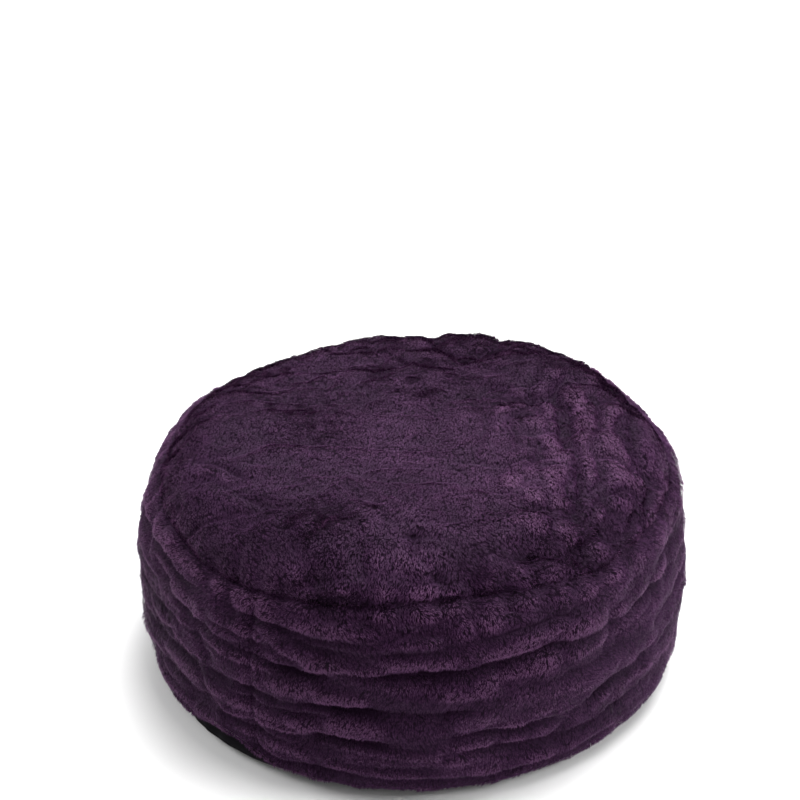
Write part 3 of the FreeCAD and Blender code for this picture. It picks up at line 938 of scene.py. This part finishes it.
def pile(name, cover, on_top, seed):
    """The pile of one cover panel, in a few pieces of bent blades, dark at the root and lighter at the tip.

    A blade's shade comes from its patch, which paints the nap's sheen, from its lock, and from how far its
    root stands out of the folds, which paints shade in the folds and highlights on the crests.
    """
    rng = np.random.default_rng(seed)
    roots, normals, tone = scatter(cover, tufts_per_square_metre, rng)
    count = len(roots)
    length = tuft_length * (1 + 0.18 * noise(roots, 0.03, 61)) * rng.uniform(0.7, 1.15, count)
    # crest: where a root stands out of the folds. Its tufts grow longer, and below they also get a painted
    # highlight
    crest = ramp(tone, 0.0010, 0.0030)
    length = length * short_near_fittings(roots) * (1 + 0.25 * crest)
    brushed = nap_direction(roots, normals, on_top)
    direction = unit(normals * 0.55 + brushed)
    tips = roots + direction * length[:, None]
    tips, leader = gather_in_locks(roots, tips, rng)
    tips = tips + rng.normal(0, 0.0005, tips.shape)
    bow = normals * (length * 0.16)[:, None] + rng.normal(0, 0.0003, tips.shape)
    middles = roots + (tips - roots) * 0.5 + bow
    across = unit(np.cross(tips - roots, normals) + rng.normal(0, 0.001, tips.shape)) * tuft_half_width
    across = across * rng.uniform(0.6, 1.35, (count, 1))
    # painted sheen: random patches of lighter and darker pile, standing for places where the nap lies another
    # way
    patch = noise(roots * (1, 1, 2.5), 0.07, 62) * 0.7 + noise(roots, 0.016, 63) * 0.35
    lock = rng.normal(0, 0.15, count)[leader]
    # painted shade and highlight: tufts rooted down in the folds take darker shades, and tufts on the crests
    # lighter ones
    shade_with_painted_light = patch + lock + rng.normal(0, 0.40, count) + np.clip(tone / 0.0028, -1.6, 0.6) + 1.1 * crest
    shade = np.digitize(shade_with_painted_light, (-0.8, 0.15, 1.05))
    blade = unit(np.cross(across, tips - roots))
    blade = blade * np.sign((blade * normals).sum(1, keepdims=True))
    shading = unit(normals * 0.75 + blade * 0.5)
    share_of_x = np.argsort(np.argsort(roots[:, 0])) / count
    pieces = []
    for part in range(pile_parts):
        chosen = np.floor(share_of_x * pile_parts) == part
        points = np.stack([roots, middles - across, middles + across, tips], 1)[chosen]
        first = np.arange(len(points))[:, None] * 4
        faces = np.concatenate([first + (0, 2, 1), first + (1, 2, 3)], 1).reshape(-1, 3)
        piece = new_object(f"{name}_{part + 1}", points, faces, smooth=False)
        index = np.zeros((len(points), 2), dtype=np.int32)
        index[:, 1] = shade[chosen] + 1
        for material in (pile_root, *pile_shades):
            piece.data.materials.append(material)
        piece.data.polygons.foreach_set("material_index", index.ravel())
        corner_normals = np.repeat(shading[chosen], 4, axis=0)
        piece.data.normals_split_custom_set_from_vertices(corner_normals.tolist())
        piece.data.update()
        pieces.append(piece)
    return pieces


# ---- cover

def finish_piece(piece, node, material=None, body="bag"):
    """Gives a piece its material, hides the frame's node that it stands for, if any, and says what it moves
    with.
    """
    if material:
        piece.data.materials.append(material)
    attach(piece, body)
    if node:
        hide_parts(node)
    return piece


cloth_move = simulate_cover()

top_panel = top_disc("top_panel", cells=200)
right_panel = side_strip("side_panel_right", front_seam_angle, rear_seam_angle, cover_step)
left_panel = side_strip("side_panel_left", rear_seam_angle, front_seam_angle + 360, cover_step)
base_panel = base_dish("base_panel", cells=150)

piles = [*pile("top_pile", top_panel, True, 1), *pile("side_pile_right", right_panel, False, 2)]
piles += pile("side_pile_left", left_panel, False, 3)
for panel, node in (
    (top_panel, "cover_top_panel"),
    (right_panel, "cover_side_panel_right"),
    (left_panel, "cover_side_panel_left"),
):
    thicken(panel, backing_thickness)
    finish_piece(panel, node, backing_cloth)
for piece in piles:
    finish_piece(piece, None)
thicken(base_panel, backing_thickness)
finish_piece(base_panel, "cover_base_panel", base_cloth)


# ---- liner and foam

def liner_top_seam(angle):
    return length_at_height(liner_high_seam) + 0 * np.asarray(angle)


def liner_base_seam(angle):
    return length_at_height(liner_low_seam) + 0 * np.asarray(angle)


liner_top = top_disc("liner_top", 120, liner_relief, liner_top_seam)
liner_side = side_strip("liner_side", 0.0, 360.0, liner_step, liner_relief, liner_base_seam, liner_top_seam)
liner_base = base_dish("liner_base", 130, liner_relief, liner_base_seam, liner_floor, channel=True)
for piece, node in (
    (liner_top, "liner_top_panel"), (liner_side, "liner_side_panel"), (liner_base, "liner_base_panel")
):
    thicken(piece, liner_thickness)
    finish_piece(piece, node, liner_cloth)


def make_foam(rows, columns):
    """The load of shredded foam, as one knobbly mass that fills the liner."""
    angle = np.linspace(0, 360, columns, endpoint=False)[None, :]
    length = np.linspace(0.004, total_length - 0.004, rows)[:, None]
    angle, length = np.broadcast_arrays(angle, length)
    points = on_bag(angle, length, 0.0)
    shreds = 0.0045 * (1 - creases(points, 0.016, 71)) + 0.004 * (1 - creases(points, 0.031, 72))
    lift = liner_relief(angle, length) - fill_depth - shreds
    points = on_cover(angle, length, lift)
    points[..., 2] = np.maximum(points[..., 2], liner_floor + fill_depth)
    points[..., 2] += zipper_channel(points) * (points[..., 2] < 0.02)
    faces = [row[::-1] for row in grid_faces(rows, columns, closed=True).tolist()]
    faces.append(list(range(columns)))
    faces.append([(rows - 1) * columns + i for i in range(columns)][::-1])
    return finish_piece(new_object("foam", points, faces), "foam_fill", foam_stuff)


foam = make_foam(rows=150, columns=420)


# ---- seams, zipper and tag

def seam_line(seam, relief, start, end, sink, count=900):
    angle = np.linspace(start, end, count)
    length = seam(angle)
    return on_cover(angle, length, relief(angle, length) - sink)


def upright_line(angle, sink, count=200):
    low = base_seam_length(angle) + 0.003
    high = top_seam_length(angle) - 0.003
    length = np.linspace(low, high, count)
    angle = np.full(count, float(angle))
    return on_cover(angle, length, side_relief(angle, length) - sink)


stitches = (
    ("top_seam_stitches", "top_seam_thread", seam_line(top_seam_length, top_relief, 0, 360, 0.0)),
    ("base_seam_stitches", "base_seam_thread", seam_line(base_cloth_length, base_relief, -120, 125, -0.0005)),
    ("side_stitches_front", "side_seam_thread_front", upright_line(front_seam_angle, 0.0)),
    ("side_stitches_rear", "side_seam_thread_rear", upright_line(rear_seam_angle, 0.0)),
)
thread_stuff = cloth_material(
    "thread", (0.020, 0.008, 0.019), (0.034, 0.014, 0.032), 0.01, 0.0002, 0.0001, 0.6
)
for name, node, line in stitches:
    finish_piece(stitch_line(name, line, *cover_stitch), node, thread_stuff)
liner_thread_stuff = cloth_material(
    "liner_thread", (0.6, 0.59, 0.56), (0.7, 0.69, 0.66), 0.01, 0.0002, 0.0001, 0.6
)
for name, node, seam in (
    ("liner_top_stitches", "liner_top_seam_thread", liner_top_seam),
    ("liner_base_stitches", "liner_base_seam_thread", liner_base_seam),
):
    line = seam_line(seam, liner_relief, 0, 360, -0.0002)
    finish_piece(stitch_line(name, line, *liner_stitch), node, liner_thread_stuff)


def make_tag():
    """The blank care tag: a satin strip that curls a little away from the plush, with a sewn hem."""
    low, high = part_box("care_tag")
    angle = angle_of_node("care_tag")
    half = math.degrees(tag_width / 2 / bag_radius)
    across = np.linspace(-1, 1, 25)[None, :]
    share = np.linspace(0, 1, 29)[:, None]
    height = low.z + (high.z - low.z) * share
    curl = tag_lift * share ** 2 * (1 + 0.6 * across) + 0.0006 * np.sin(3 * across + 4 * share)
    angles, lengths = np.broadcast_arrays(angle + half * across, length_at_height(height))
    points = on_cover(angles, lengths, tag_gap + curl)
    tag = new_object("tag", points, grid_faces(*lengths.shape))
    thicken(tag, tag_thickness)
    finish_piece(tag, "care_tag", tag_stuff)
    hem = on_cover(angles, lengths, tag_gap + 0.0003 + curl)
    line = np.concatenate([hem[2:-2, 2], hem[-3, 2:-2], hem[-3:1:-1, -3]])
    stitches = stitch_line("tag_stitches", line, *tag_stitch)
    finish_piece(stitches, None, tag_stuff)


def ring_coil(node, name):
    """One coil of the outer zipper, in the place of its CAD ring."""
    low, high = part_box(node)
    x, y, z = vertex_places(nodes[node].data).T
    turn = np.unwrap(np.sort(np.arctan2(y, x)))
    radius = (np.hypot(x, y).min() + np.hypot(x, y).max()) / 2
    around = np.linspace(turn.min(), turn.max(), 400)
    outward = np.stack([np.cos(around), np.sin(around), 0 * around], 1)
    line = outward * radius + (0, 0, (low.z + high.z) / 2)
    upward = np.tile((0.0, 0.0, 1.0), (len(line), 1))
    height = np.hypot(x, y).max() - np.hypot(x, y).min()
    return coil_along(name, line, upward, outward, high.z - low.z, height, coil_pitch, coil_wire)


def straight_coil(node, name):
    """One coil of the liner's zipper, in the place of its CAD bar."""
    low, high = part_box(node)
    middle = (low + high) / 2
    x = np.linspace(low.x, high.x, 200)
    line = np.stack([x, 0 * x + middle.y, 0 * x + middle.z], 1)
    across = np.tile((0.0, 1.0, 0.0), (len(x), 1))
    outward = np.tile((0.0, 0.0, -1.0), (len(x), 1))
    width, height = high.y - low.y, high.z - low.z
    return coil_along(name, line, across, outward, width, height, coil_pitch, liner_coil_wire)


coil_stuff = new_material("coil_nylon", (0.012, 0.010, 0.013), 0.35)
mottle(coil_stuff, (0.010, 0.008, 0.011), (0.020, 0.017, 0.021), 0.004)
liner_coil_stuff = new_material("liner_coil_nylon", (0.5, 0.5, 0.48), 0.35)
mottle(liner_coil_stuff, (0.48, 0.47, 0.44), (0.60, 0.59, 0.56), 0.004)
for side in ("upper", "lower"):
    node = "zipper_coil_" + side
    finish_piece(ring_coil(node, "zipper_teeth_" + side), node, coil_stuff)
for side in ("rear", "front"):
    node = "liner_zipper_coil_" + side
    finish_piece(straight_coil(node, "liner_zipper_teeth_" + side), node, liner_coil_stuff)


def metal_material(name, dark, light, scratch):
    """Plated die-cast metal with fine scratches and uneven polish."""
    material = new_material(name, dark, 0.32)
    shader_of(material).inputs["Metallic"].default_value = 1.0
    place = mottle(material, dark, light, 0.003)
    wear = add_node(material, "ShaderNodeTexNoise", Scale=900.0, Detail=3.0)
    wire(material, place.outputs["Object"], wear.inputs["Vector"])
    add_bump(material, wear.outputs["Fac"], 0.2, scratch)
    return material


tape_stuff = cloth_material(
    "zipper_tape", (0.010, 0.007, 0.010), (0.018, 0.013, 0.018), 0.01, 0.0005, 0.0002
)
liner_tape_stuff = cloth_material("liner_tape", (0.5, 0.49, 0.46), (0.6, 0.59, 0.56), 0.01, 0.0005, 0.0002)
tag_stuff = cloth_material(
    "tag_satin", (0.42, 0.41, 0.38), (0.50, 0.49, 0.46), 0.01, 0.0003, 0.0001, 0.45
)
metal_stuff = metal_material("zipper_metal", (0.05, 0.05, 0.055), (0.10, 0.10, 0.11), 0.0001)
cad_finishes = (
    (tape_stuff, ("zipper_tape_upper", "zipper_tape_lower")),
    (liner_tape_stuff, ("liner_zipper_tape_rear", "liner_zipper_tape_front")),
    (metal_stuff, ("zipper_end_stops", "zipper_slider", "zipper_pull", "liner_zipper_slider")),
    (liner_coil_stuff, ("liner_zipper_stops",)),
)
make_tag()
for material, names in cad_finishes:
    for name in names:
        mesh_slots = nodes[name].data.materials
        mesh_slots.clear()
        mesh_slots.append(material)


# ---- floor, light and camera

def add_floor():
    half = 6.0
    points = [(-half, -half, 0), (half, -half, 0), (half, half, 0), (-half, half, 0)]
    floor = new_object("floor", points, [(0, 1, 2, 3)], smooth=False)
    floor.location.z = -0.0005
    material = new_material("floor", (0.93, 0.93, 0.93), 0.9)
    floor.data.materials.append(material)


def aim_from(name, data, place, target):
    """Adds a light or a camera at a place, turned towards a target."""
    added = bpy.data.objects.new(name, data)
    added.location = place
    added.rotation_euler = (Vector(target) - Vector(place)).to_track_quat("-Z", "Y").to_euler()
    bpy.context.scene.collection.objects.link(added)
    return added


def add_light(name, place, size, power, target=(0, 0, 0.15)):
    data = bpy.data.lights.new(name, "AREA")
    data.shape = "DISK"
    data.size = size
    data.energy = power
    aim_from(name, data, place, target)


def add_camera():
    """The photograph's view: from the front, well above the floor, through a long lens."""
    elevation = math.radians(camera_elevation)
    distance = camera_distance * bag_radius
    target = Vector((0, 0, camera_aim_height * bag_radius))
    back = Vector((0, -math.cos(elevation), math.sin(elevation)))
    up = Vector((0, math.sin(elevation), math.cos(elevation)))
    data = bpy.data.cameras.new("camera")
    data.sensor_width = 36
    data.lens = camera_lens
    aim = target + up * camera_aim_up + Vector((camera_aim_side, 0, 0))
    bpy.context.scene.camera = aim_from("camera", data, target + back * distance, aim)


def add_sky():
    """Soft white surroundings, brighter where the camera sees them than where they light the bag."""
    world = bpy.data.worlds.new("studio")
    world.use_nodes = True
    tree = world.node_tree
    background = tree.nodes["Background"]
    background.inputs["Color"].default_value = (1, 1, 1, 1)
    rays = tree.nodes.new("ShaderNodeLightPath")
    strength = tree.nodes.new("ShaderNodeMapRange")
    strength.inputs["To Min"].default_value = 0.38
    strength.inputs["To Max"].default_value = 0.95
    tree.links.new(rays.outputs["Is Camera Ray"], strength.inputs["Value"])
    tree.links.new(strength.outputs["Result"], background.inputs["Strength"])
    bpy.context.scene.world = world


add_floor()
add_sky()
add_light("key", (0.6, 0.4, 2.7), 2.2, 112)
add_light("right", (2.4, -0.5, 1.3), 1.2, 40)
add_light("left", (-2.3, 0.5, 1.5), 1.2, 34)
add_light("rear", (0.0, 5.0, 4.0), 4.0, 260, (0, 4.0, 0))
add_camera()
bpy.context.scene.view_settings.view_transform = "Standard"
